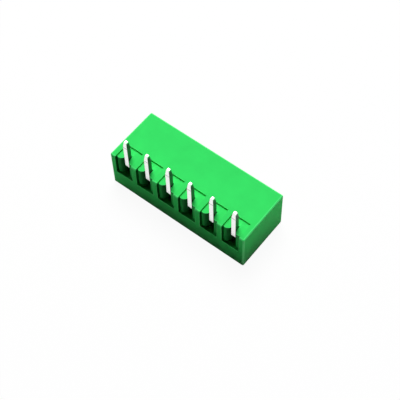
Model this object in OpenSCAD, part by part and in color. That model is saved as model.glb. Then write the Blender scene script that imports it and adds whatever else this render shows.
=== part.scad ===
// Pluggable terminal block header: right-angle, closed ends, one row of poles.
// It lies on its cover side with the solder tails up. On a board it is turned over.
// X runs along the row, Y from the solder side to the mating mouth, Z from cover to board.

/* [Poles] */
// Number of poles in the row
poles = 6; // [2:1:12]
// Distance between neighbouring poles
pitch = 5.08; // [5:0.01:7.62]

/* [Housing] */
// Depth from the solder side to the mating mouth
depth = 12.3; // [11:0.1:16]
// Height from the cover side to the seating face
height = 9.4; // [8:0.1:12]
// Thickness of each end wall
end_wall = 0.55; // [0.45:0.05:1.5]
// Room between the plug and each end wall
plug_play = 0.05; // [0:0.01:0.3]
// Thickness of the cover wall, which it lies on
cover_wall = 1; // [0.7:0.05:1.6]
// Thickness of the wall on the board side
board_wall = 1; // [0.8:0.05:1.6]
// Thickness of the web that holds the pins
web = 1.2; // [0.8:0.05:2]
// Radius of the outer edges
edge_r = 0.3; // [0.1:0.05:0.4]

/* [Rear slots] */
// Width of the slot behind each pole
slot_w = 3.95; // [3.2:0.05:4.4]
// How far each slot reaches down from the seating face
slot_drop = 5.1; // [4:0.1:6]
// Length of the shallow pocket that each slot opens into
pocket_l = 3.65; // [2.8:0.05:4]
// How far the pocket floor lies under the seating face
pocket_sink = 0.4; // [0.2:0.05:0.6]
// How far the guide fingers stand back from the rear face
finger_inset = 0.5; // [0.1:0.05:0.6]
// Radius of a finger's nose beside the pin
finger_nose_r = 0.95; // [0.3:0.05:1]
// Radius of a finger's heel beside the slot wall
finger_heel_r = 0.35; // [0.1:0.05:0.5]
// Room between a pin and the finger on each side of it
finger_play = 0.05; // [0.05:0.05:0.4]

/* [Mating mouth] */
// Width of the chamfer round the mouth
lead_in = 0.2; // [0.1:0.05:0.3]
// Width of the keying notch in front of each pole
notch_w = 2.2; // [1.5:0.1:3.5]
// Length of the keying notch from the mouth
notch_l = 2.8; // [1.5:0.1:4]
// Distance from the mouth to the latch groove
latch_y = 2; // [1.5:0.1:3]
// Width of the latch groove
latch_w = 1.2; // [0.8:0.1:1.6]
// Depth of the latch groove
latch_sink = 0.25; // [0.1:0.05:0.4]

/* [Contact pins] */
// Side of the square pin
pin_w = 1; // [0.8:0.05:1.2]
// Distance from the rear face to the pin's tail
pin_inset = 1.05; // [0.5:0.05:1.5]
// Depth of the mating leg's axis under the seating face
pin_drop = 3.4; // [2.8:0.05:3.6]
// Inner radius of the bend
bend_r = 0.2; // [0.2:0.05:0.8]
// Length of the solder tail past the seating face
tail_l = 4.8; // [3:0.1:6]
// Length of the tail's taper
tail_taper = 1.6; // [0.6:0.1:2]
// How far the mating tip lies inside the mouth
tip_recess = 1; // [0.5:0.1:3]
// Length of the mating tip's taper
tip_taper = 1.2; // [0.6:0.1:2]
// Side of the flat at both tips
tip_w = 0.6; // [0.3:0.05:0.7]
// Room between a pin and its hole, none where it is pressed in
pin_fit = 0; // [0:0.01:0.05]

/* [Hidden] */
$fn = 48;
// Overshoot of a cut past the face that it opens
over = 1;

rear_y = -depth / 2;
mouth_y = depth / 2;
cavity_w = poles * pitch + 2 * plug_play;
length = cavity_w + 2 * end_wall;
// The bend ends where the web starts
slot_l = pin_inset + pin_w + bend_r;
slot_back_y = rear_y + slot_l;
cavity_y = slot_back_y + web;
slot_floor_z = height - slot_drop;
pocket_floor_z = height - pocket_sink;
ceiling_z = height - board_wall;

channel_w = pin_w + 2 * finger_play;
finger_w = (slot_w - channel_w) / 2;
finger_l = slot_l - finger_inset;
// Share of a finger's width or length that its nose may take
nose_share = 0.7;
nose_r = min(finger_nose_r, nose_share * min(finger_w, finger_l));
heel_r = min(finger_heel_r, finger_w - nose_r);

tail_y = rear_y + pin_inset + pin_w / 2;
leg_z = height - pin_drop;
bend_axis_r = bend_r + pin_w / 2;
bend_y = tail_y + bend_axis_r;
bend_z = leg_z + bend_axis_r;
hole_w = pin_w + 2 * pin_fit;

HOUSING_GREEN = [0.16, 0.62, 0.31];
TINNED_METAL = [0.86, 0.86, 0.83];

// X of a pole, counted from 1
function pole_x(i) = (i - (poles + 1) / 2) * pitch;

// Rectangle with round corners, centred
module round_rect(w, h, r) {
    square([w - 2 * r, h], center = true);
    square([w, h - 2 * r], center = true);
    for (x = [-1, 1], y = [-1, 1])
        translate([x * (w / 2 - r), y * (h / 2 - r)])
            circle(r);
}

// Block on the ground with all its edges rounded: three crossed prisms
module rounded_block(w, d, h, r) {
    intersection() {
        linear_extrude(h)
            round_rect(w, d, r);
        translate([0, 0, h / 2])
            rotate([90, 0, 0])
                linear_extrude(d, center = true)
                    round_rect(w, h, r);
        translate([0, 0, h / 2])
            rotate([90, 0, 90])
                linear_extrude(w, center = true)
                    round_rect(d, h, r);
    }
}

// Outline that keeps its half width a up to y = 0 and then opens at 45 degrees
module flare_outline(a, run) {
    polygon([[-a, -run], [a, -run], [a, 0], [a + run, run], [-a - run, run], [-a, 0]]);
}

// Chamfer round the mouth: a flare in X crossed with a flare in Z
module mouth_lead_in() {
    cavity_h = ceiling_z - cover_wall;
    translate([0, mouth_y - lead_in, cover_wall + cavity_h / 2])
        intersection() {
            linear_extrude(2 * height, center = true)
                flare_outline(cavity_w / 2, over);
            rotate([90, 0, 90])
                linear_extrude(2 * length, center = true)
                    rotate(-90)
                        flare_outline(cavity_h / 2, over);
        }
}

// Room for the plug, with its chamfered mouth, latch groove and keying notches
module mating_cavity() {
    translate([-cavity_w / 2, cavity_y, cover_wall])
        cube([cavity_w, mouth_y - cavity_y + over, ceiling_z - cover_wall]);
    mouth_lead_in();
    translate([-cavity_w / 2, mouth_y - latch_y - latch_w, ceiling_z - over])
        cube([cavity_w, latch_w, over + latch_sink]);
    for (i = [1:poles])
        translate([pole_x(i) - notch_w / 2, mouth_y - notch_l, -over])
            cube([notch_w, notch_l + over, 2 * over + cover_wall]);
}

// Plan of one guide finger, from its nose at the rear to the web
module finger_plan() {
    translate([0, nose_r])
        square([finger_w, finger_l - nose_r]);
    translate([nose_r, 0])
        square([finger_w - nose_r - heel_r, nose_r]);
    translate([nose_r, nose_r])
        circle(nose_r);
    translate([finger_w - heel_r, heel_r]) {
        circle(heel_r);
        square([heel_r, nose_r]);
    }
}

// Cut behind one pole: slot, shallow pocket and press hole, with the fingers left standing
module rear_cut() {
    difference() {
        translate([-slot_w / 2, rear_y - over, slot_floor_z])
            cube([slot_w, slot_l + over, slot_drop + over]);
        for (side = [0, 1])
            mirror([side, 0, 0])
                translate([channel_w / 2, rear_y + finger_inset, slot_floor_z - over])
                    linear_extrude(over + slot_drop - pocket_sink)
                        finger_plan();
    }
    translate([-slot_w / 2, rear_y - over, pocket_floor_z])
        cube([slot_w, pocket_l + over, pocket_sink + over]);
    translate([-hole_w / 2, slot_back_y - over, leg_z - hole_w / 2])
        cube([hole_w, web + 2 * over, hole_w]);
}

// One moulding: shroud, web, guide fingers
module housing() {
    color(HOUSING_GREEN)
        difference() {
            rounded_block(length, depth, height, edge_r);
            mating_cavity();
            for (i = [1:poles])
                translate([pole_x(i), 0, 0])
                    rear_cut();
        }
}

// Side of a square bar that stands on y = 0 and narrows to its tip
module bar_outline(l, taper) {
    polygon([
        [-pin_w / 2, 0], [pin_w / 2, 0], [pin_w / 2, l - taper],
        [tip_w / 2, l], [-tip_w / 2, l], [-pin_w / 2, l - taper]
    ]);
}

// Square bar along Z with all four sides tapered at its end
module tipped_bar(l, taper) {
    intersection() {
        rotate([90, 0, 0])
            linear_extrude(pin_w, center = true)
                bar_outline(l, taper);
        rotate([90, 0, 90])
            linear_extrude(pin_w, center = true)
                bar_outline(l, taper);
    }
}

// Square wire: mating leg along Y, bend, solder tail along Z
module contact_pin(i) {
    color(TINNED_METAL)
        translate([pole_x(i), 0, 0]) {
            translate([0, bend_y, leg_z])
                rotate([-90, 0, 0])
                    tipped_bar(mouth_y - tip_recess - bend_y, tip_taper);
            translate([0, bend_y, bend_z])
                rotate([90, 0, 90])
                    rotate(180)
                        rotate_extrude(angle = 90)
                            translate([bend_axis_r, 0])
                                square(pin_w, center = true);
            translate([0, tail_y, bend_z])
                tipped_bar(height + tail_l - bend_z, tail_taper);
        }
}

housing();
for (i = [1:poles])
    contact_pin(i);
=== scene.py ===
"""Looks of a pluggable terminal block header: moulded housing, bent square pins and a plain stage.

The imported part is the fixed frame. Each new piece is a surface worked out with numpy in the frame's
own metres, and stands for the node of the part that has its shape.
"""

import math
from types import SimpleNamespace

import bmesh
import bpy
import numpy as np
from mathutils import Matrix, Vector


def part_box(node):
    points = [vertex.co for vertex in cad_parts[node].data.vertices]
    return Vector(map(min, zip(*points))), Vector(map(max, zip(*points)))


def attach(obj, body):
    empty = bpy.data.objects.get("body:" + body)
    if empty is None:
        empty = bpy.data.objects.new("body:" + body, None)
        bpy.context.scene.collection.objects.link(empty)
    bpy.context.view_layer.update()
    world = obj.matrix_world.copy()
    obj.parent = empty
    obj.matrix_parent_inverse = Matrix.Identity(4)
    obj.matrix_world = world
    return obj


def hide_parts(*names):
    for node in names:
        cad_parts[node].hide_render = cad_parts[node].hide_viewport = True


bl_info = {
    "name": "Terminal block header",
    "version": (1, 0, 0),
    "blender": (4, 5, 0),
    "location": "View3D > Sidebar > Header",
    "description": "Builds the housing, the contact pins and the stage of a terminal block header",
    "category": "Object",
}

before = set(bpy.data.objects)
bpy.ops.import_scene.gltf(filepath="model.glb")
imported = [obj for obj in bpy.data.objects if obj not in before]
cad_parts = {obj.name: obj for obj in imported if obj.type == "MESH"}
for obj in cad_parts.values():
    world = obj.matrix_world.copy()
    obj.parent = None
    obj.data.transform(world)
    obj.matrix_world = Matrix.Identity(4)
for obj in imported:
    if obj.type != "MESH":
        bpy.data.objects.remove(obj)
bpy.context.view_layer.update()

MM = 0.001
# Two coordinates closer than this many metres are the same line of the grid
NEAR = 1e-7
UPWARDS = (0.0, 0.0, 1.0)
# The header has no joint, so all its pieces ride on one body
BODY = "root"

PIN_NODES = sorted(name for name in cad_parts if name.startswith("contact_pin"))
PIN_BOXES = [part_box(name) for name in PIN_NODES]
PIN_LOW, PIN_HIGH = PIN_BOXES[0]
PIN_HALF = (PIN_HIGH.x - PIN_LOW.x) / 2
POLE_X = np.array([(low.x + high.x) / 2 for low, high in PIN_BOXES])
HOUSING_LOW, HOUSING_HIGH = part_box("housing")

# Points on a round: a finger's nose and heel, a corner of a pin's section, its bend, its tip and the
# crease where its taper starts
NOSE_STEPS = 9
HEEL_STEPS = 6
CORNER_STEPS = 4
BEND_STEPS = 13
TIP_STEPS = 5
CREASE_STEPS = 5
# Faces across the round of an edge of the housing
EDGE_FACES = 4
# Place of the edges' plastic in the housing's list of materials: a lighter green, a painted highlight
# on the rounded edges
EDGE_HIGHLIGHT_PLASTIC = 1
# A finger's heel leaves the slot wall at this angle, so that no knife-thin groove is left
HEEL_START = math.radians(20)
# Faces lie in one plane up to the first angle, and an edge is a corner from the second on
FLAT_ANGLE = math.radians(0.5)
SHARP_ANGLE = math.radians(30)

# Half the length of the soft crease where a pin starts to taper, and of the dark band painted round it
# as shade
CREASE = 0.12 * MM
# Shares of a taper's length, from the tip: a pin is plated all round up to the first, and its sides
# are bare from the second on
PLATED = 0.15
BARE = 0.3

# Most of a noise pattern lies in this range
NOISE_RANGE = (0.3, 0.7)
# Height that a relief of strength 1 has
RELIEF_HEIGHT = 0.01 * MM

# Flow clouds in the plastic: how fine, how detailed, and the darkest and lightest shade of the green
CLOUD_SCALE = 260.0
CLOUD_DETAIL = 3.0
CLOUD_SHADES = (0.96, 1.04)
# Satin grain on the plastic: how fine, how detailed, its relief and the range of its roughness
GRAIN_SCALE = 9000.0
GRAIN_DETAIL = 2.0
GRAIN_RELIEF = 0.15
SATIN_ROUGHNESS = (0.42, 0.56)
# Strength of the mirror reflection on the faces and on the rounded edges
SATIN_GLOSS = 0.02
EDGE_GLOSS = 0.3

# Painted shade in the rear slots: depth behind the rear face at which it is darkest, and the shade of
# the green there
RECESS_DEPTH = 1.5 * MM
RECESS_PAINTED_SHADE = 0.2
# Way to the side that light comes into a slot from, share of the painted shade that a face loses if it
# looks that way, and how fast a turn brings it back
RECESS_OPEN = (-0.57, -0.82, 0.0)
RECESS_TURN = 0.95
RECESS_FALL = 3.0
# Share of the painted shade that a slot's floor loses
RECESS_FLOOR = 0.5

# Streaks along the wire: how often they change round it and along it, how detailed, and their relief
STREAK_SCALE = (40.0, 2.5, 1.0)
STREAK_DETAIL = 3.0
STREAK_RELIEF = 0.1
# Darkest and lightest shade, and range of the roughness, on the tin and on the sheared sides
TIN_SHADES = (0.94, 1.03)
TIN_ROUGHNESS = (0.2, 0.3)
CUT_SHADES = (0.7, 1.3)
CUT_ROUGHNESS = (0.4, 0.5)

# The floor's half side, how far it lies under the part, and the share of its white that a shadow takes
FLOOR_HALF = 1.0
FLOOR_DROP = 0.02 * MM
FLOOR_SHADOW = 0.06
# A count of bounces under this is none
FIRST_BOUNCE = 0.5
# Metres from the lamps to the middle of the part
LAMP_DISTANCE = 0.9
# Width of the camera's sensor in millimetres, and the range of distances in metres that it sees
SENSOR_WIDTH = 36.0
SIGHT_RANGE = (0.01, 10.0)


def length_setting(label, description, millimetres):
    """A length that a user can change, kept in metres."""
    return bpy.props.FloatProperty(
        name=label, description=description, default=millimetres * MM,
        precision=5, subtype="DISTANCE", unit="LENGTH",
    )


def colour_setting(label, description, colour):
    """A linear colour that a user can change."""
    return bpy.props.FloatVectorProperty(
        name=label, description=description, default=colour,
        min=0.0, max=1.0, size=3, subtype="COLOR",
    )


def angle_setting(label, description, degrees):
    """An angle that a user can change, kept in radians."""
    return bpy.props.FloatProperty(
        name=label, description=description, default=math.radians(degrees),
        subtype="ANGLE", unit="ROTATION",
    )


def share_setting(label, description, share):
    """A share from 0 to 1 that a user can change."""
    return bpy.props.FloatProperty(
        name=label, description=description, default=share,
        min=0.0, max=1.0, subtype="FACTOR",
    )


def power_setting(label, description, watts):
    """A lamp's power that a user can change."""
    return bpy.props.FloatProperty(
        name=label, description=description, default=watts, min=0.0, subtype="POWER", unit="POWER",
    )


class HeaderHousingSettings(bpy.types.PropertyGroup):
    """Sizes and colour of the moulded housing."""

    end_wall: length_setting("End wall", "Thickness of each end wall", 0.55)
    cover_wall: length_setting("Cover wall", "Thickness of the wall it lies on", 1.0)
    board_wall: length_setting("Board wall", "Thickness of the wall on the board side", 1.0)
    web: length_setting("Web", "Thickness of the web that holds the pins", 1.2)
    slot_width: length_setting("Slot width", "Width of the slot behind each pole", 3.95)
    slot_length: length_setting("Slot length", "From the rear face to the web", 2.25)
    slot_drop: length_setting("Slot drop", "Reach of a slot below the seating face", 5.1)
    pocket_length: length_setting("Pocket length", "Length of the shallow pocket of a slot", 3.65)
    pocket_sink: length_setting("Pocket sink", "Depth of the pocket under the seating face", 0.4)
    finger_inset: length_setting("Finger inset", "Setback of the fingers from the rear face", 0.5)
    nose_radius: length_setting("Nose radius", "Radius of a finger beside the pin", 0.95)
    heel_radius: length_setting("Heel radius", "Radius of a finger beside the slot wall", 0.35)
    finger_play: length_setting("Finger play", "Room between a pin and each finger", 0.05)
    lead_in: length_setting("Lead-in", "Width of the chamfer round the mouth", 0.2)
    notch_width: length_setting("Notch width", "Width of a keying notch", 2.2)
    notch_length: length_setting("Notch length", "Length of a keying notch", 2.8)
    latch_distance: length_setting("Latch distance", "From the mouth to the latch groove", 2.0)
    latch_width: length_setting("Latch width", "Width of the latch groove", 1.2)
    latch_sink: length_setting("Latch sink", "Depth of the latch groove", 0.25)
    edge_radius: length_setting("Edge radius", "Radius of the outer edges", 0.3)
    soft_radius: length_setting("Soft radius", "Radius of the other edges", 0.08)
    rim_radius: length_setting("Rim radius", "Radius of the edges round the mouth and pockets", 0.02)
    green: colour_setting("Green", "Colour of the plastic", (0.038, 0.77, 0.135))
    # The edges' lighter green is a painted highlight
    edge_highlight_green: colour_setting("Edge green", "Lighter colour of the edges, painted as a highlight", (0.052, 0.88, 0.18))


class HeaderPinSettings(bpy.types.PropertyGroup):
    """Sizes and colours of the contact pins."""

    bend_radius: length_setting("Bend radius", "Inner radius of the bend", 0.2)
    tail_taper: length_setting("Tail taper", "Length of the solder tail's taper", 1.6)
    tip_taper: length_setting("Tip taper", "Length of the mating tip's taper", 1.2)
    tip_width: length_setting("Tip width", "Side of the flat at both tips", 0.6)
    corner_radius: length_setting("Corner radius", "Radius of the wire's long edges", 0.06)
    tip_radius: length_setting("Tip radius", "Radius round the flat of both tips", 0.15)
    tin: colour_setting("Tin", "Colour of the plated faces", (0.96, 0.955, 0.945))
    # The sheared sides' colour is partly bare metal and partly a painted reflection of the shaded green
    # housing
    cut_metal_and_reflection: colour_setting("Cut metal", "Colour of the sheared sides", (0.08, 0.12, 0.1))


class HeaderStageSettings(bpy.types.PropertyGroup):
    """Camera, light and floor."""

    azimuth: angle_setting("Azimuth", "Camera angle round the part, from the solder side", 39.964)
    elevation: angle_setting("Elevation", "Camera angle above the floor", 57.802)
    roll: angle_setting("Roll", "Turn of the picture", -2.22)
    distance: length_setting("Distance", "From the camera to the point it circles", 201.261)
    aim_height: length_setting("Aim height", "Height of the point that the camera circles", 4.5)
    shift_right: length_setting("Shift right", "Move of the part to the right", -0.718)
    shift_up: length_setting("Shift up", "Move of the part upwards", 2.241)
    lens: bpy.props.FloatProperty(
        name="Lens", description="Focal length on a 36 mm sensor", default=94.867,
        subtype="DISTANCE_CAMERA",
    )
    key_azimuth: angle_setting("Key azimuth", "Angle of the large lamp round the part", 214.5)
    key_elevation: angle_setting("Key elevation", "Angle of the large lamp above the floor", 63.5)
    key_size: length_setting("Key size", "Side of the large lamp", 500.0)
    key_power: power_setting("Key light", "Power of the large soft lamp behind the part", 9.3)
    edge_azimuth: angle_setting("Edge azimuth", "Angle of the small lamp round the part", 99.0)
    edge_elevation: angle_setting("Edge elevation", "Angle of the small lamp above the floor", 20.0)
    edge_size: length_setting("Edge size", "Side of the small lamp", 150.0)
    edge_power: power_setting("Edge light", "Power of the small lamp that lights the edges", 0.15)
    ambient: share_setting("Ambient", "Brightness of the surroundings as a light", 0.01)
    floor_grey: share_setting("Floor", "Brightness of the floor as a light", 0.95)
    shade_right: length_setting("Shade right", "Move of the shade along the row", 6.0)
    shade_front: length_setting("Shade front", "Move of the shade to the solder side", 7.3)
    shade_fade: length_setting("Shade fade", "Distance over which the shade fades out", 14.5)


def near(values, target):
    """True where a coordinate lies on a line of the grid."""
    return np.abs(values - target) < NEAR


def within(values, low, high):
    """True where a coordinate lies between two lines of the grid or on one of them."""
    return (values > low - NEAR) & (values < high + NEAR)


def midpoints(lines):
    """The middle of each cell between neighbouring grid lines."""
    return (lines[:-1] + lines[1:]) / 2


def grid_lines(*groups):
    """All given coordinates in order, without repeats."""
    lines = np.sort(np.concatenate([np.ravel(group) for group in groups]))
    return lines[np.append(True, np.diff(lines) > NEAR)]


def pole_offset(x):
    """Distance in x from the nearest pole."""
    return np.abs(x[..., None] - POLE_X).min(axis=-1)


def block_surface(xs, ys, zs, solid):
    """Skin of a solid made of cells on an uneven grid.

    A face stands wherever a solid cell meets an empty one: the step between neighbours along each
    axis is +1 or -1 there, and its sign says which way the face looks.
    """
    shape = (len(xs), len(ys), len(zs))
    filled = np.pad(solid, 1).astype(np.int8)
    index = np.arange(np.prod(shape)).reshape(shape)
    quads = []
    for axis in range(3):
        order = [axis, (axis + 1) % 3, (axis + 2) % 3]
        step = np.diff(filled.transpose(order), axis=0)[:, 1:-1, 1:-1]
        corner = index.transpose(order)
        i, j, k = np.nonzero(step)
        quad = np.stack(
            [corner[i, j, k], corner[i, j + 1, k], corner[i, j + 1, k + 1], corner[i, j, k + 1]],
            axis=1,
        )
        looks_back = step[i, j, k] > 0
        quad[looks_back] = quad[looks_back][:, ::-1]
        quads.append(quad)
    quads = np.concatenate(quads)
    used = np.unique(quads)
    points = np.stack(np.meshgrid(xs, ys, zs, indexing="ij"), axis=-1).reshape(-1, 3)[used]
    return points, np.searchsorted(used, quads)


def arc_steps(radius, start, count):
    """Distances from a side at which its round of nose_setback is cut into equal angles."""
    angle = np.linspace(start, math.pi / 2, count)
    return radius * (math.cos(start) - np.cos(angle))


def nose_setback(u, side, radius, start):
    """How far a finger's rear face stands back at the distance u from the pole.

    A circle leaves the side at the start angle. The cosine of the angle falls by the distance from
    the side over the radius, and the setback is the radius times one less the sine.
    """
    cosine = np.clip(math.cos(start) - np.abs(u - side) / radius, 0.0, 1.0)
    return radius * (1.0 - np.sqrt(1.0 - cosine**2))


def housing_planes(s):
    """Where the walls of the moulding lie, in metres, from the frame's boxes and the settings."""
    low, high = HOUSING_LOW, HOUSING_HIGH
    slot_back = low.y + s.slot_length
    latch_high = high.y - s.latch_distance
    return SimpleNamespace(
        rear=low.y, mouth=high.y, cover=low.z, seat=high.z, end=high.x,
        leg=PIN_LOW.z + PIN_HALF,
        slot_back=slot_back,
        web_front=slot_back + s.web,
        nose=low.y + s.finger_inset,
        pocket_end=low.y + s.pocket_length,
        slot_floor=high.z - s.slot_drop,
        pocket_floor=high.z - s.pocket_sink,
        slot_half=s.slot_width / 2,
        channel_half=PIN_HALF + s.finger_play,
        cavity_half=high.x - s.end_wall,
        cavity_low=low.z + s.cover_wall,
        cavity_high=high.z - s.board_wall,
        chamfer=high.y - s.lead_in,
        latch_low=latch_high - s.latch_width,
        latch_high=latch_high,
        latch_roof=high.z - s.board_wall + s.latch_sink,
        notch_back=high.y - s.notch_length,
        notch_half=s.notch_width / 2,
    )


def housing_grid(p, s):
    """Grid lines in x, y and z: every wall's plane, and the steps of the fingers' rounds in x."""
    nose = p.channel_half + arc_steps(s.nose_radius, 0.0, NOSE_STEPS)
    heel = p.slot_half - arc_steps(s.heel_radius, HEEL_START, HEEL_STEPS)
    half = grid_lines([PIN_HALF, p.notch_half], nose, heel)
    xs = grid_lines(
        [-p.end, -p.cavity_half, p.cavity_half, p.end],
        POLE_X[:, None] + half, POLE_X[:, None] - half,
    )
    ys = grid_lines([
        p.rear, p.nose, p.slot_back, p.web_front, p.pocket_end,
        p.notch_back, p.latch_low, p.latch_high, p.chamfer, p.mouth,
    ])
    zs = grid_lines([
        p.cover, p.cavity_low, p.slot_floor, p.leg - PIN_HALF, p.leg + PIN_HALF,
        p.cavity_high, p.latch_roof, p.pocket_floor, p.seat,
    ])
    return xs, ys, zs


def housing_solid(p, x, y, z):
    """True in the cells that hold plastic: the block less the plug's room and each pole's cuts."""
    u = pole_offset(x)
    cavity = (np.abs(x) < p.cavity_half) & (y > p.web_front)
    plug_room = cavity & (z > p.cavity_low) & (z < p.cavity_high)
    latch = cavity & (y > p.latch_low) & (y < p.latch_high) & (z > p.cavity_high) & (z < p.latch_roof)
    notch = (u < p.notch_half) & (y > p.notch_back) & (z < p.cavity_low)
    finger = (u > p.channel_half) & (y > p.nose) & (z < p.pocket_floor)
    slot = (u < p.slot_half) & (y < p.slot_back) & (z > p.slot_floor) & ~finger
    pocket = (u < p.slot_half) & (y < p.pocket_end) & (z > p.pocket_floor)
    hole = (u < PIN_HALF) & (y > p.slot_back) & (y < p.web_front) & (np.abs(z - p.leg) < PIN_HALF)
    return ~(plug_room | latch | notch | slot | pocket | hole)


def round_fingers(points, p, s):
    """Sets the fingers' rear faces back by their nose and heel rounds."""
    u = pole_offset(points[:, 0])
    on_nose = (
        near(points[:, 1], p.nose)
        & within(u, p.channel_half, p.slot_half)
        & within(points[:, 2], p.slot_floor, p.pocket_floor)
    )
    setback = np.maximum(
        nose_setback(u, p.channel_half, s.nose_radius, 0.0),
        nose_setback(u, p.slot_half, s.heel_radius, HEEL_START),
    )
    points[on_nose, 1] += setback[on_nose]


def open_mouth(points, p, s):
    """Moves the cavity's outline at the mouth outwards, which makes the chamfer round it."""
    x, z = points[:, 0].copy(), points[:, 2].copy()
    rim = (
        near(points[:, 1], p.mouth)
        & within(np.abs(x), 0, p.cavity_half)
        & within(z, p.cavity_low, p.cavity_high)
    )
    points[:, 0] += s.lead_in * np.sign(x) * (rim & near(np.abs(x), p.cavity_half))
    points[:, 2] += s.lead_in * (rim & near(z, p.cavity_high))
    points[:, 2] -= s.lead_in * (rim & near(z, p.cavity_low))


def merge_flat_faces(mesh):
    """Joins the neighbouring faces of each plane, so that only true edges are left."""
    work = bmesh.new()
    work.from_mesh(mesh)
    bmesh.ops.dissolve_limit(
        work, angle_limit=FLAT_ANGLE, use_dissolve_boundaries=False,
        verts=work.verts[:], edges=work.edges[:],
    )
    work.to_mesh(mesh)
    work.free()


def read_array(items, name, kind, width=1):
    """A property of all items of a mesh as one array."""
    values = np.empty(len(items) * width, kind)
    items.foreach_get(name, values)
    return values.reshape(-1, width) if width > 1 else values


def edge_folds(mesh):
    """Fold at each edge: the angle between its two faces, above 0 where the corner stands out.

    A face lies to the left of its edge as its outline runs, which is its normal crossed with the
    edge. The corner stands out where that way dips under the other face.
    """
    loop_edge = read_array(mesh.loops, "edge_index", np.int32)
    loop_vertex = read_array(mesh.loops, "vertex_index", np.int32)
    first = read_array(mesh.polygons, "loop_start", np.int32)
    count = read_array(mesh.polygons, "loop_total", np.int32)
    if np.any(np.bincount(loop_edge, minlength=len(mesh.edges)) != 2):
        raise ValueError("the housing's skin isn't closed")
    loop_face = np.repeat(np.arange(len(count)), count)
    following = np.arange(len(loop_edge)) + 1
    following[first + count - 1] = first
    points = read_array(mesh.vertices, "co", np.float32, 3)
    normals = read_array(mesh.polygons, "normal", np.float32, 3)
    along = points[loop_vertex[following]] - points[loop_vertex]
    inwards = np.cross(normals[loop_face], along)
    here, there = np.argsort(loop_edge, kind="stable").reshape(-1, 2).T
    other = normals[loop_face[there]]
    angle = np.arccos(np.clip((normals[loop_face[here]] * other).sum(axis=1), -1, 1))
    return np.where((inwards[here] * other).sum(axis=1) < 0, angle, -angle)


def weigh_edges(mesh, p, s):
    """Gives each edge its radius, as a share of the outer edges' radius, or leaves it sharp.

    An outer edge has both ends on two of the block's outer planes. Other corners that stand out
    count from the sharp angle on, with a smaller radius along the mouth's chamfer and round the
    pockets in the seating face. Corners in the two faces of the web, where the pins sit in their
    holes, stay sharp, and so do all the inner corners.
    """
    points = read_array(mesh.vertices, "co", np.float32, 3).astype(float)
    ends = read_array(mesh.edges, "vertices", np.int32, 2)
    x, y, z = points.T
    planes = np.stack([
        near(x, -p.end), near(x, p.end), near(y, p.rear),
        near(y, p.mouth), near(z, p.cover), near(z, p.seat),
    ], axis=1)
    outer = (planes[ends[:, 0]] & planes[ends[:, 1]]).sum(axis=1) > 1
    in_rim = (within(y, p.chamfer, p.mouth) | near(z, p.seat))[ends].all(axis=1)
    in_web = (near(y, p.slot_back) | near(y, p.web_front))[ends].all(axis=1)
    folds = edge_folds(mesh)
    weight = np.where(in_rim, s.rim_radius, s.soft_radius) / s.edge_radius
    weight[(folds < SHARP_ANGLE) | in_web] = 0.0
    weight[outer] = 1.0
    layer = mesh.attributes.new("bevel_weight_edge", "FLOAT", "EDGE")
    layer.data.foreach_set("value", weight.astype(np.float32))
    sharp = (np.abs(folds) > SHARP_ANGLE) & (weight == 0.0)
    mesh.attributes.new("sharp_edge", "BOOLEAN", "EDGE").data.foreach_set("value", sharp)


def new_object(name, data):
    """An object at the origin that holds a mesh, a lamp or a camera."""
    item = bpy.data.objects.new(name, data)
    bpy.context.scene.collection.objects.link(item)
    return item


def ring_section(half, radius, count):
    """Square of that half side with rounded corners, as points counted round its middle."""
    angle = np.arange(4)[:, None] * math.pi / 2 + np.linspace(0, math.pi / 2, count)
    corner = np.array([[1, 1], [-1, 1], [-1, -1], [1, -1]]) * (half - radius)
    ring = corner[:, None] + radius * np.stack([np.cos(angle), np.sin(angle)], axis=-1)
    return ring.reshape(-1, 2)


def taper_scale(end, taper, s):
    """Scale of a pin's section at the distance end from its tip.

    It grows in a straight line to 1 at the taper's length, with a parabola over the crease, and
    close to the tip it shrinks by the depth of a circle of the tip's radius.
    """
    slope = (1 - s.tip_width / 2 / PIN_HALF) / taper
    past = np.clip(taper + CREASE - end, 0, None)
    straight = 1 - slope * (taper - end)
    curved = 1 - slope * past**2 / (4 * CREASE)
    scale = np.where(end < taper - CREASE, straight, curved)
    depth = np.clip(s.tip_radius - end, 0, None)
    inset = s.tip_radius - np.sqrt(s.tip_radius**2 - depth**2)
    return scale - inset / PIN_HALF


def end_stations(taper, s):
    """Distances from a tip where sections stand: round the tip, where plating ends, over the crease."""
    turn = np.linspace(0, math.pi / 2, TIP_STEPS)
    crease = taper + np.linspace(-CREASE, CREASE, CREASE_STEPS)
    return np.concatenate([s.tip_radius * (1 - np.cos(turn)), [taper * PLATED, taper * BARE], crease])


def bare_side_and_crease_shade(path, total, ring, s):
    """How much of the sheared sides' dark colour each station and point of the section gets: 0 on tin,
    1 on cut metal.

    A side is bare where the section's point lies further out across the wire than in the plane of
    the bend, and the change runs round the corner. Towards a tip the bare side fades out between
    the two shares of the taper. Round a crease the dark colour is painted all round as shade, less
    with the distance from its middle.
    """
    across, inwards = np.abs(ring).T
    side = np.clip((across - inwards) / (2 * s.corner_radius) + 0.5, 0, 1)
    taper_share = np.minimum(path / s.tip_taper, (total - path) / s.tail_taper)
    bare = np.clip((taper_share - PLATED) / (BARE - PLATED), 0, 1)
    from_crease = np.minimum(np.abs(path - s.tip_taper), np.abs(total - path - s.tail_taper))
    # Painted shade: a dark band round the crease where the taper starts
    crease_shade = np.clip(1 - from_crease / CREASE, 0, 1)
    return np.maximum(np.outer(bare, side), crease_shade[:, None])


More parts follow.
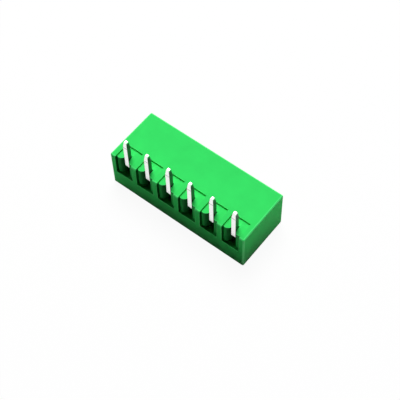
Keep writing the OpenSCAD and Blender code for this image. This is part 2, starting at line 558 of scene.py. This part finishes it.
def pin_surface(s, x):
    """Square wire carried along leg, bend and tail of one pole.

    The station's distance along the path gives the turn of the bend. The middle line runs towards
    the solder side, round a quarter circle and up, and the section stands square to it. The result
    is the rings of points, the points at both tips, the stations and how bare each point is.
    """
    radius = s.bend_radius + PIN_HALF
    tail_y = PIN_LOW.y + PIN_HALF
    leg = PIN_HIGH.y - tail_y - radius
    bend = radius * math.pi / 2
    leg_z = PIN_LOW.z + PIN_HALF
    total = leg + bend + PIN_HIGH.z - leg_z - radius
    path = grid_lines(
        end_stations(s.tip_taper, s),
        np.linspace(leg, leg + bend, BEND_STEPS),
        total - end_stations(s.tail_taper, s),
    )
    turn = np.clip((path - leg) / radius, 0, math.pi / 2)
    middle_y = PIN_HIGH.y - np.minimum(path, leg) - radius * np.sin(turn)
    middle_z = leg_z + radius * (1 - np.cos(turn)) + np.maximum(path - leg - bend, 0)
    scale = np.minimum(
        taper_scale(path, s.tip_taper, s), taper_scale(total - path, s.tail_taper, s)
    )
    ring = ring_section(PIN_HALF, s.corner_radius, CORNER_STEPS)
    across = scale[:, None] * ring[:, 0]
    inwards = scale[:, None] * ring[:, 1]
    points = np.stack([
        x + across,
        middle_y[:, None] + inwards * np.sin(turn)[:, None],
        middle_z[:, None] + inwards * np.cos(turn)[:, None],
    ], axis=-1)
    tips = np.array([
        [x, PIN_HIGH.y, leg_z],
        [x, tail_y, PIN_HIGH.z],
    ])
    sheared = np.append(bare_side_and_crease_shade(path, total, ring, s), np.zeros(len(tips)))
    return points, tips, path, sheared


def closed_tube(points, tips, path):
    """Vertices, faces and UVs of a tube through rings of points, with a fan at each tip.

    U runs once round the wire, and V counts along the path in lengths of the wire's girth.
    """
    rings, count = points.shape[:2]
    i = np.arange(count)
    after = (i + 1) % count
    base = np.arange(rings - 1)[:, None] * count
    sides = np.stack(
        [base + i, base + after, base + count + after, base + count + i], axis=-1
    ).reshape(-1, 4)
    last = (rings - 1) * count
    first_tip = rings * count
    start = np.stack([np.full(count, first_tip), after, i], axis=1)
    finish = np.stack([np.full(count, first_tip + 1), last + i, last + after], axis=1)
    around = np.linspace(0, 1, count + 1)
    girth = 8 * PIN_HALF
    along = path / girth
    u = np.stack([around[:-1], around[1:], around[1:], around[:-1]], axis=-1)
    v = np.stack([along[:-1], along[:-1], along[1:], along[1:]], axis=-1)
    side_uv = np.stack(np.broadcast_arrays(u[None], v[:, None]), axis=-1).reshape(-1, 2)
    middle = (around[:-1] + around[1:]) / 2
    start_uv = np.stack([middle, around[1:], around[:-1]], axis=1).reshape(-1)
    finish_uv = np.stack([middle, around[:-1], around[1:]], axis=1).reshape(-1)
    tip_uv = [
        np.stack([start_uv, np.full_like(start_uv, along[0])], axis=1),
        np.stack([finish_uv, np.full_like(finish_uv, along[-1])], axis=1),
    ]
    vertices = np.concatenate([points.reshape(-1, 3), tips])
    faces = sides.tolist() + start.tolist() + finish.tolist()
    return vertices, faces, np.concatenate([side_uv, *tip_uv])


def new_material(name):
    """A material with a plain shader and nothing else, and the lists that take its nodes and links."""
    material = bpy.data.materials.new(name)
    material.use_nodes = True
    nodes, links = material.node_tree.nodes, material.node_tree.links
    shader = next(n for n in nodes if n.type == "BSDF_PRINCIPLED")
    return material, nodes, links, shader


def noise(nodes, links, vector, scale, detail):
    """A noise pattern read at the vector, with its scale per metre or per UV unit."""
    node = nodes.new("ShaderNodeTexNoise")
    node.inputs["Scale"].default_value = scale
    node.inputs["Detail"].default_value = detail
    links.new(vector, node.inputs["Vector"])
    return node.outputs["Fac"]


def map_range(nodes, links, value, source, target):
    """The value from the source range, laid over the target range and held at its ends."""
    node = nodes.new("ShaderNodeMapRange")
    node.inputs["From Min"].default_value = source[0]
    node.inputs["From Max"].default_value = source[1]
    node.inputs["To Min"].default_value = target[0]
    node.inputs["To Max"].default_value = target[1]
    links.new(value, node.inputs["Value"])
    return node.outputs["Result"]


def add_relief(nodes, links, shader, pattern, strength):
    """Raises the shader's surface a little where the pattern is high."""
    bump = nodes.new("ShaderNodeBump")
    bump.inputs["Strength"].default_value = strength
    bump.inputs["Distance"].default_value = RELIEF_HEIGHT
    links.new(pattern, bump.inputs["Height"])
    links.new(bump.outputs["Normal"], shader.inputs["Normal"])


def blend_colours(nodes, links, share, first, second):
    """Colour from first to second by the share. Each is a colour or another node's output."""
    node = nodes.new("ShaderNodeMix")
    node.data_type = "RGBA"
    links.new(share, node.inputs["Factor"])
    for label, colour in (("A", first), ("B", second)):
        socket = next(i for i in node.inputs if i.name == label and i.type == "RGBA")
        if isinstance(colour, bpy.types.NodeSocket):
            links.new(colour, socket)
        else:
            socket.default_value = (*colour, 1.0)
    return next(o for o in node.outputs if o.type == "RGBA")


def shade(colour, factor):
    """A colour made lighter or darker by the factor."""
    return tuple(min(1.0, channel * factor) for channel in colour)


def calculate(nodes, links, operation, *values):
    """Result of one sum. Each value is a number or another node's output."""
    node = nodes.new("ShaderNodeMath")
    node.operation = operation
    for socket, value in zip(node.inputs, values):
        if isinstance(value, bpy.types.NodeSocket):
            links.new(value, socket)
        else:
            socket.default_value = value
    return node.outputs[0]


def vector_sum(nodes, links, operation, first, second=None):
    """Result of one sum on vectors. The second is a plain vector, where the sum needs one."""
    node = nodes.new("ShaderNodeVectorMath")
    node.operation = operation
    links.new(first, node.inputs[0])
    if second is not None:
        node.inputs[1].default_value = second
    return node.outputs["Value" if operation in ("LENGTH", "DOT_PRODUCT") else "Vector"]


def inside_box(nodes, links, place, low, high):
    """1 where the place lies in the box between two corners, and 0 elsewhere."""
    inside = 1.0
    for axis, start, end in zip("XYZ", low, high):
        middle, half = (start + end) / 2, (end - start) / 2
        within_axis = calculate(nodes, links, "COMPARE", place.outputs[axis], middle, half)
        inside = calculate(nodes, links, "MULTIPLY", inside, within_axis)
    return inside


def painted_recess_shade(nodes, links, p, s):
    """Share of painted shade: 0 on the open faces, and up to 1 on the faces inside the rear slots.

    The painted shade grows in step with the depth behind the rear face, and also with the turn of a
    face
    away from the open side: 1 on the side walls, and less on the fingers' fronts and on the floor.
    """
    place = nodes.new("ShaderNodeSeparateXYZ")
    coordinates = nodes.new("ShaderNodeTexCoord").outputs
    links.new(coordinates["Object"], place.inputs["Vector"])
    half_row = POLE_X.max() + p.slot_half + NEAR
    slot = inside_box(
        nodes, links, place,
        (-half_row, p.rear + s.soft_radius, p.slot_floor - NEAR),
        (half_row, p.slot_back + NEAR, p.pocket_floor - s.soft_radius),
    )
    depth = map_range(
        nodes, links, place.outputs["Y"], (p.rear, p.rear + RECESS_DEPTH), (0.0, 1.0)
    )
    facing = vector_sum(nodes, links, "DOT_PRODUCT", coordinates["Normal"], RECESS_OPEN)
    facing = calculate(nodes, links, "MAXIMUM", facing, 0.0)
    facing = calculate(nodes, links, "POWER", facing, RECESS_FALL)
    turned = calculate(nodes, links, "MULTIPLY_ADD", facing, -RECESS_TURN, 1.0)
    upward = vector_sum(nodes, links, "DOT_PRODUCT", coordinates["Normal"], UPWARDS)
    turned = calculate(nodes, links, "MULTIPLY_ADD", upward, -RECESS_FLOOR, turned)
    deepest = calculate(nodes, links, "MAXIMUM", depth, turned)
    return calculate(nodes, links, "MULTIPLY", slot, deepest)


def green_plastic(name, green, gloss, p, s):
    """Green moulded plastic: flow clouds in the colour, painted shade in the rear slots and a fine
    satin grain.
    """
    material, nodes, links, shader = new_material(name)
    place = nodes.new("ShaderNodeTexCoord").outputs["Object"]
    clouds = noise(nodes, links, place, CLOUD_SCALE, CLOUD_DETAIL)
    grain = noise(nodes, links, place, GRAIN_SCALE, GRAIN_DETAIL)
    share = map_range(nodes, links, clouds, NOISE_RANGE, (0.0, 1.0))
    open_colour = blend_colours(nodes, links, share, *(shade(green, f) for f in CLOUD_SHADES))
    # Painted shade: the faces inside the slots are blended towards a darker green
    painted_slot_shade = painted_recess_shade(nodes, links, p, s)
    colour = blend_colours(nodes, links, painted_slot_shade, open_colour, shade(green, RECESS_PAINTED_SHADE))
    links.new(colour, shader.inputs["Base Color"])
    roughness = map_range(nodes, links, grain, NOISE_RANGE, SATIN_ROUGHNESS)
    links.new(roughness, shader.inputs["Roughness"])
    shader.inputs["Specular IOR Level"].default_value = gloss
    add_relief(nodes, links, shader, grain, GRAIN_RELIEF)
    return material


def tinned_metal(s):
    """Bright tin with drawn streaks on the rolled faces, and dark bare metal on the sheared sides,
    whose green tint is a painted reflection of the housing.
    """
    material, nodes, links, shader = new_material("tinned_pin_metal")
    mapping = nodes.new("ShaderNodeMapping")
    mapping.inputs["Scale"].default_value = STREAK_SCALE
    links.new(nodes.new("ShaderNodeTexCoord").outputs["UV"], mapping.inputs["Vector"])
    streaks = noise(nodes, links, mapping.outputs["Vector"], 1.0, STREAK_DETAIL)
    # The sheared attribute is 1 on the bare sides and on the dark band painted round each crease as
    # shade
    side = nodes.new("ShaderNodeAttribute")
    side.attribute_name = "sheared"
    share = map_range(nodes, links, streaks, NOISE_RANGE, (0.0, 1.0))
    tin = blend_colours(nodes, links, share, *(shade(s.tin, f) for f in TIN_SHADES))
    # The sheared sides' dark green is partly bare metal and partly painted reflection and shade of the
    # housing
    cut = blend_colours(nodes, links, share, *(shade(s.cut_metal_and_reflection, f) for f in CUT_SHADES))
    colour = blend_colours(nodes, links, side.outputs["Fac"], tin, cut)
    links.new(colour, shader.inputs["Base Color"])
    roughness = nodes.new("ShaderNodeMix")
    links.new(side.outputs["Fac"], roughness.inputs["Factor"])
    links.new(map_range(nodes, links, streaks, NOISE_RANGE, TIN_ROUGHNESS), roughness.inputs["A"])
    links.new(map_range(nodes, links, streaks, NOISE_RANGE, CUT_ROUGHNESS), roughness.inputs["B"])
    links.new(roughness.outputs["Result"], shader.inputs["Roughness"])
    shader.inputs["Metallic"].default_value = 1.0
    add_relief(nodes, links, shader, streaks, STREAK_RELIEF)
    return material


def seen_directly(nodes, links):
    """1 for rays from the camera, a reflection or a clear material, and 0 for light that spreads.

    A reflection counts only where no matt surface lies between it and the camera.
    """
    path = nodes.new("ShaderNodeLightPath").outputs
    straight = calculate(nodes, links, "MAXIMUM", path["Is Camera Ray"], path["Is Glossy Ray"])
    straight = calculate(nodes, links, "MAXIMUM", straight, path["Is Transmission Ray"])
    unspread = calculate(nodes, links, "LESS_THAN", path["Diffuse Depth"], FIRST_BOUNCE)
    return calculate(nodes, links, "MULTIPLY", straight, unspread)


def distance_from_shade(nodes, links, s):
    """Distance on the floor from the rectangle in the part's shade.

    The rectangle is the part's outline moved away from the key lamp. A place lies outside it by
    its distance from the middle less half the side, along x and y, and the length of that is the
    distance.
    """
    middle = (s.shade_right, -s.shade_front, 0.0)
    half = (HOUSING_HIGH.x, HOUSING_HIGH.y, FLOOR_HALF)
    place = nodes.new("ShaderNodeTexCoord").outputs["Object"]
    place = vector_sum(nodes, links, "SUBTRACT", place, middle)
    place = vector_sum(nodes, links, "ABSOLUTE", place)
    place = vector_sum(nodes, links, "SUBTRACT", place, half)
    place = vector_sum(nodes, links, "MAXIMUM", place, (0.0, 0.0, 0.0))
    return vector_sum(nodes, links, "LENGTH", place)


def floor_paper(s):
    """White to look at, with the part's soft shadow on it, and grey as a source of bounced light.

    Close to the part the floor bounces less light, as in the wide shade that a part has under a
    broad lamp.
    """
    material, nodes, links, shader = new_material("floor_paper")
    nodes.remove(shader)
    output = next(n for n in nodes if n.type == "OUTPUT_MATERIAL")
    distance = distance_from_shade(nodes, links, s)
    grey = map_range(nodes, links, distance, (0.0, s.shade_fade), (0.0, s.floor_grey))
    bounce = nodes.new("ShaderNodeBsdfDiffuse")
    links.new(grey, bounce.inputs["Color"])
    paper = nodes.new("ShaderNodeBsdfDiffuse")
    paper.inputs["Color"].default_value = (FLOOR_SHADOW, FLOOR_SHADOW, FLOOR_SHADOW, 1.0)
    glow = nodes.new("ShaderNodeEmission")
    glow.inputs["Strength"].default_value = 1.0 - FLOOR_SHADOW
    seen = nodes.new("ShaderNodeAddShader")
    links.new(paper.outputs[0], seen.inputs[0])
    links.new(glow.outputs[0], seen.inputs[1])
    mix = nodes.new("ShaderNodeMixShader")
    links.new(seen_directly(nodes, links), mix.inputs["Fac"])
    links.new(bounce.outputs[0], mix.inputs[1])
    links.new(seen.outputs[0], mix.inputs[2])
    links.new(mix.outputs[0], output.inputs["Surface"])
    return material


def light_world(s):
    """White surroundings to look at, and a dim grey as a light."""
    world = bpy.data.worlds.new("studio")
    bpy.context.scene.world = world
    world.use_nodes = True
    nodes, links = world.node_tree.nodes, world.node_tree.links
    background = next(n for n in nodes if n.type == "BACKGROUND")
    background.inputs["Color"].default_value = (1.0, 1.0, 1.0, 1.0)
    strength = map_range(nodes, links, seen_directly(nodes, links), (0.0, 1.0), (s.ambient, 1.0))
    links.new(strength, background.inputs["Strength"])


def direction(azimuth, elevation):
    """Unit vector from the part, by an angle round it from the solder side and one above the floor."""
    return Vector((
        math.sin(azimuth) * math.cos(elevation),
        -math.cos(azimuth) * math.cos(elevation),
        math.sin(elevation),
    ))


def soft_lamp(name, azimuth, elevation, size, power):
    """A square soft lamp that looks at the middle of the part, at angles like the camera's."""
    place = LAMP_DISTANCE * direction(azimuth, elevation)
    data = bpy.data.lights.new(name, "AREA")
    data.shape = "SQUARE"
    data.size = size
    data.energy = power
    lamp = new_object(name, data)
    lamp.location = place
    lamp.rotation_euler = (-place).to_track_quat("-Z", "Y").to_euler()


def place_camera(s):
    """Camera on a circle round the part: back, right and up directions from its three angles."""
    back = direction(s.azimuth, s.elevation)
    level = Vector((math.cos(s.azimuth), math.sin(s.azimuth), 0.0))
    rise = back.cross(level)
    right = level * math.cos(s.roll) + rise * math.sin(s.roll)
    up = rise * math.cos(s.roll) - level * math.sin(s.roll)
    aim = Vector((0.0, 0.0, s.aim_height))
    place = aim + back * s.distance - right * s.shift_right - up * s.shift_up
    data = bpy.data.cameras.new("camera")
    data.sensor_width = SENSOR_WIDTH
    data.lens = s.lens
    data.clip_start, data.clip_end = SIGHT_RANGE
    camera = new_object("camera", data)
    turned = Matrix((right, up, back)).transposed().to_4x4()
    camera.matrix_world = Matrix.Translation(place) @ turned
    bpy.context.scene.camera = camera


class HEADER_OT_build_housing(bpy.types.Operator):
    """Mould the housing: shroud, web, rear slots with guide fingers, and the mating mouth"""

    bl_idname = "header.build_housing"
    bl_label = "Build housing"
    bl_options = {"REGISTER", "UNDO"}

    def execute(self, context):
        s = context.scene.header_housing
        p = housing_planes(s)
        lines = housing_grid(p, s)
        centres = np.meshgrid(*map(midpoints, lines), indexing="ij")
        points, quads = block_surface(*lines, housing_solid(p, *centres))
        round_fingers(points, p, s)
        open_mouth(points, p, s)
        mesh = bpy.data.meshes.new("moulded_housing")
        mesh.from_pydata(points.tolist(), [], quads.tolist())
        merge_flat_faces(mesh)
        mesh.shade_smooth()
        weigh_edges(mesh, p, s)
        mesh.materials.append(green_plastic("green_moulded_plastic", s.green, SATIN_GLOSS, p, s))
        # The bevels' faces get the lighter green, a painted highlight along every rounded edge
        mesh.materials.append(green_plastic("edge_plastic_painted_highlight", s.edge_highlight_green, EDGE_GLOSS, p, s))
        piece = new_object("moulded_housing", mesh)
        rounds = piece.modifiers.new("rounded edges", "BEVEL")
        rounds.limit_method = "WEIGHT"
        rounds.width = s.edge_radius
        rounds.segments = EDGE_FACES
        rounds.use_clamp_overlap = False
        rounds.harden_normals = True
        rounds.material = EDGE_HIGHLIGHT_PLASTIC
        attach(piece, BODY)
        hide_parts("housing")
        return {"FINISHED"}


class HEADER_OT_build_pins(bpy.types.Operator):
    """Form the contact pins: square tinned wire with a bend and tapered tips, one for each pole"""

    bl_idname = "header.build_pins"
    bl_label = "Build contact pins"
    bl_options = {"REGISTER", "UNDO"}

    def execute(self, context):
        s = context.scene.header_pins
        metal = tinned_metal(s)
        for number, (node, x) in enumerate(zip(PIN_NODES, POLE_X), start=1):
            points, tips, path, sheared = pin_surface(s, x)
            vertices, faces, uv = closed_tube(points, tips, path)
            name = f"bent_pin_{number}"
            mesh = bpy.data.meshes.new(name)
            mesh.from_pydata(vertices.tolist(), [], faces)
            layer = mesh.uv_layers.new(name="along_the_wire")
            layer.data.foreach_set("uv", uv.astype(np.float32).ravel())
            # The attribute also carries the dark band painted round each crease as shade
            side = mesh.attributes.new("sheared", "FLOAT", "POINT")
            side.data.foreach_set("value", sheared.astype(np.float32))
            mesh.shade_smooth()
            mesh.materials.append(metal)
            piece = new_object(name, mesh)
            piece.modifiers.new("flat faces", "WEIGHTED_NORMAL")
            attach(piece, BODY)
            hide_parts(node)
        return {"FINISHED"}


class HEADER_OT_build_stage(bpy.types.Operator):
    """Set the stage: floor, soft light and the camera"""

    bl_idname = "header.build_stage"
    bl_label = "Build stage"
    bl_options = {"REGISTER", "UNDO"}

    def execute(self, context):
        s = context.scene.header_stage
        mesh = bpy.data.meshes.new("floor")
        corners = FLOOR_HALF * np.array([[-1, -1], [1, -1], [1, 1], [-1, 1]])
        mesh.from_pydata([(x, y, -FLOOR_DROP) for x, y in corners], [], [(0, 1, 2, 3)])
        mesh.materials.append(floor_paper(s))
        new_object("floor", mesh)
        light_world(s)
        soft_lamp("key_lamp", s.key_azimuth, s.key_elevation, s.key_size, s.key_power)
        soft_lamp("edge_lamp", s.edge_azimuth, s.edge_elevation, s.edge_size, s.edge_power)
        place_camera(s)
        context.scene.view_settings.view_transform = "Standard"
        return {"FINISHED"}


class HEADER_PT_tools(bpy.types.Panel):
    """Lists the steps and their settings in the sidebar"""

    bl_idname = "HEADER_PT_tools"
    bl_label = "Terminal block header"
    bl_space_type = "VIEW_3D"
    bl_region_type = "UI"
    bl_category = "Header"

    def draw(self, context):
        for operator, settings in (
            (HEADER_OT_build_housing, context.scene.header_housing),
            (HEADER_OT_build_pins, context.scene.header_pins),
            (HEADER_OT_build_stage, context.scene.header_stage),
        ):
            box = self.layout.box()
            box.operator(operator.bl_idname)
            for name in settings.__annotations__:
                box.prop(settings, name)


CLASSES = (
    HeaderHousingSettings,
    HeaderPinSettings,
    HeaderStageSettings,
    HEADER_OT_build_housing,
    HEADER_OT_build_pins,
    HEADER_OT_build_stage,
    HEADER_PT_tools,
)


def register():
    """Makes the settings, the operators and the panel known."""
    for each in CLASSES:
        bpy.utils.register_class(each)
    scene = bpy.types.Scene
    scene.header_housing = bpy.props.PointerProperty(type=HeaderHousingSettings)
    scene.header_pins = bpy.props.PointerProperty(type=HeaderPinSettings)
    scene.header_stage = bpy.props.PointerProperty(type=HeaderStageSettings)


def unregister():
    """Takes the settings, the operators and the panel away again."""
    scene = bpy.types.Scene
    del scene.header_housing, scene.header_pins, scene.header_stage
    for each in reversed(CLASSES):
        bpy.utils.unregister_class(each)


def main():
    """Builds the pieces and the stage."""
    register()
    bpy.ops.header.build_housing()
    bpy.ops.header.build_pins()
    bpy.ops.header.build_stage()


if __name__ == "__main__":
    main()
